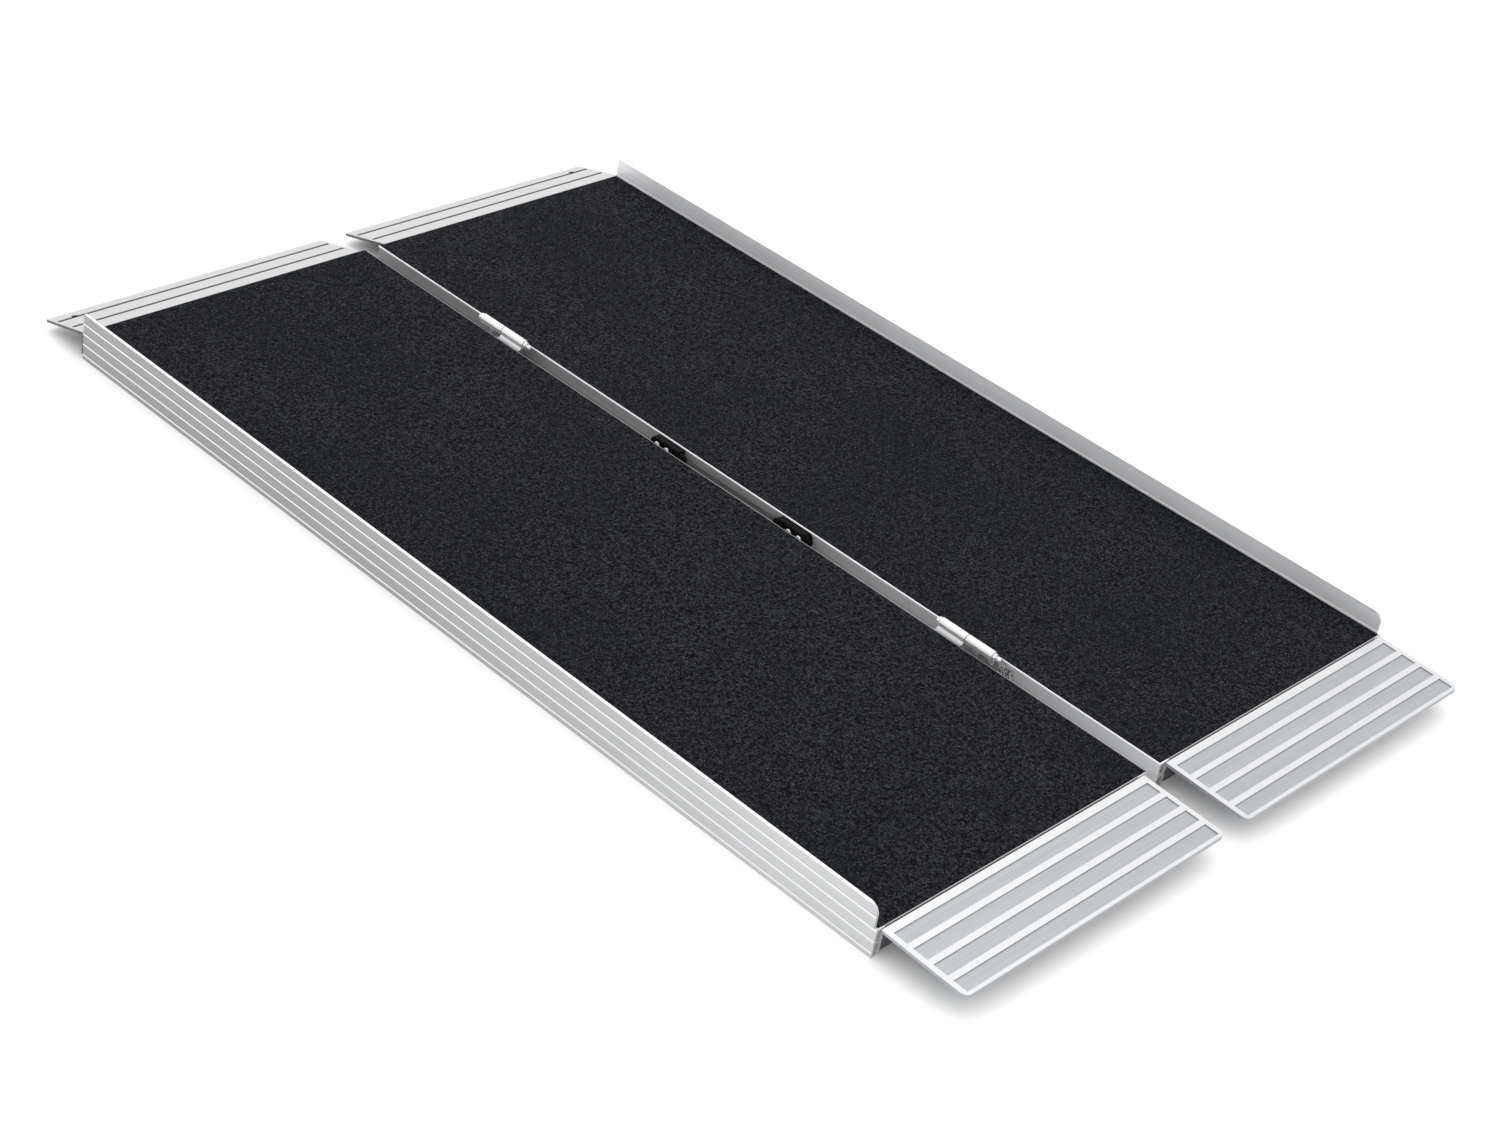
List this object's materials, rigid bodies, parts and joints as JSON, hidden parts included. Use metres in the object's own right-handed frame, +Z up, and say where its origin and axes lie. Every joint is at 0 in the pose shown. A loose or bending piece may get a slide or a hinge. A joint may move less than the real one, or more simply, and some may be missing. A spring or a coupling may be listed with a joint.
{
  "type": "portable wheelchair ramp",
  "caption": "Single-fold portable aluminium ramp: grit-covered panels with curbed side rails, barrel-hinged along the middle, hinged foot plates, bent top lips and a fold-out carrying bail.",
  "frame": {"origin": "on the floor under the middle of the open ramp's bounding box, midway between the two panels", "axes": "+Z up, +Y up the ramp from the hinged foot plates to the bent top lips, +X across to the right panel"},
  "size_m": [0.73, 1.2304, 0.0515],
  "materials": {
    "rail_aluminium": "mill finish, fine lengthwise die lines",
    "ribbed_aluminium": "bright satin, grooved",
    "grit_tread": "coarse mineral grit, matte with fine sparkle",
    "hinge_steel": "bright plated",
    "fastener_steel": "zinc plated",
    "black_plastic": "moulded, fine texture",
    "black_steel": "black powder coat"
  },
  "bodies": {
    "left_panel": {"left_outer_rail": "rail_aluminium", "left_inner_rail": "rail_aluminium", "left_grit_sheet": "grit_tread", "left_foot_rail": "rail_aluminium", "left_top_rail": "rail_aluminium", "left_top_lip": "ribbed_aluminium", "left_lip_rivets": "fastener_steel", "left_foot_rail_screws": "fastener_steel", "left_top_rail_screws": "fastener_steel", "left_plank_1": "rail_aluminium", "left_plank_2": "rail_aluminium", "left_plank_3": "rail_aluminium", "left_hinge_rivets": "fastener_steel", "foot_end_hinge_leaf_left": "hinge_steel", "top_end_hinge_leaf_left": "hinge_steel", "foot_end_hinge_pin": "hinge_steel", "foot_end_hinge_pin_cap": "hinge_steel", "top_end_hinge_pin": "hinge_steel", "top_end_hinge_pin_cap": "hinge_steel"},
    "right_panel": {"right_outer_rail": "rail_aluminium", "right_inner_rail": "rail_aluminium", "right_grit_sheet": "grit_tread", "right_foot_rail": "rail_aluminium", "right_top_rail": "rail_aluminium", "right_top_lip": "ribbed_aluminium", "right_lip_rivets": "fastener_steel", "right_foot_rail_screws": "fastener_steel", "right_top_rail_screws": "fastener_steel", "right_plank_1": "rail_aluminium", "right_plank_2": "rail_aluminium", "right_plank_3": "rail_aluminium", "right_hinge_rivets": "fastener_steel", "foot_end_hinge_leaf_right": "hinge_steel", "top_end_hinge_leaf_right": "hinge_steel", "handle_mount_foot_end": "black_plastic", "handle_mount_top_end": "black_plastic", "handle_mount_screws": "fastener_steel"},
    "left_foot_plate_body": {"left_foot_plate": "ribbed_aluminium"},
    "right_foot_plate_body": {"right_foot_plate": "ribbed_aluminium"},
    "carry_handle": {"carry_bail": "black_steel", "carry_grip": "black_plastic"}
  },
  "joints": [
    {"name": "fold", "type": "hinge", "parent": "left_panel", "child": "right_panel", "pos_m": [0, 0, 0.0347], "axis": [0, -1, 0], "range_deg": [0, 174.3]},
    {"name": "left_foot_plate_hinge", "type": "hinge", "parent": "left_panel", "child": "left_foot_plate_body", "pos_m": [0, -0.51763, 0.0252], "axis": [1, 0, 0], "range_deg": [-4.6, 27.9]},
    {"name": "right_foot_plate_hinge", "type": "hinge", "parent": "right_panel", "child": "right_foot_plate_body", "pos_m": [0, -0.51763, 0.0252], "axis": [1, 0, 0], "range_deg": [-4.6, 27.9]},
    {"name": "handle_swing", "type": "hinge", "parent": "right_panel", "child": "carry_handle", "pos_m": [0.005, 0.00867, 0.024], "axis": [0, 1, 0], "range_deg": [0, 90]}
  ],
  "couplings": [
    {"joint": "handle_swing", "follows": "fold", "ratio": 0.51634}
  ]
}
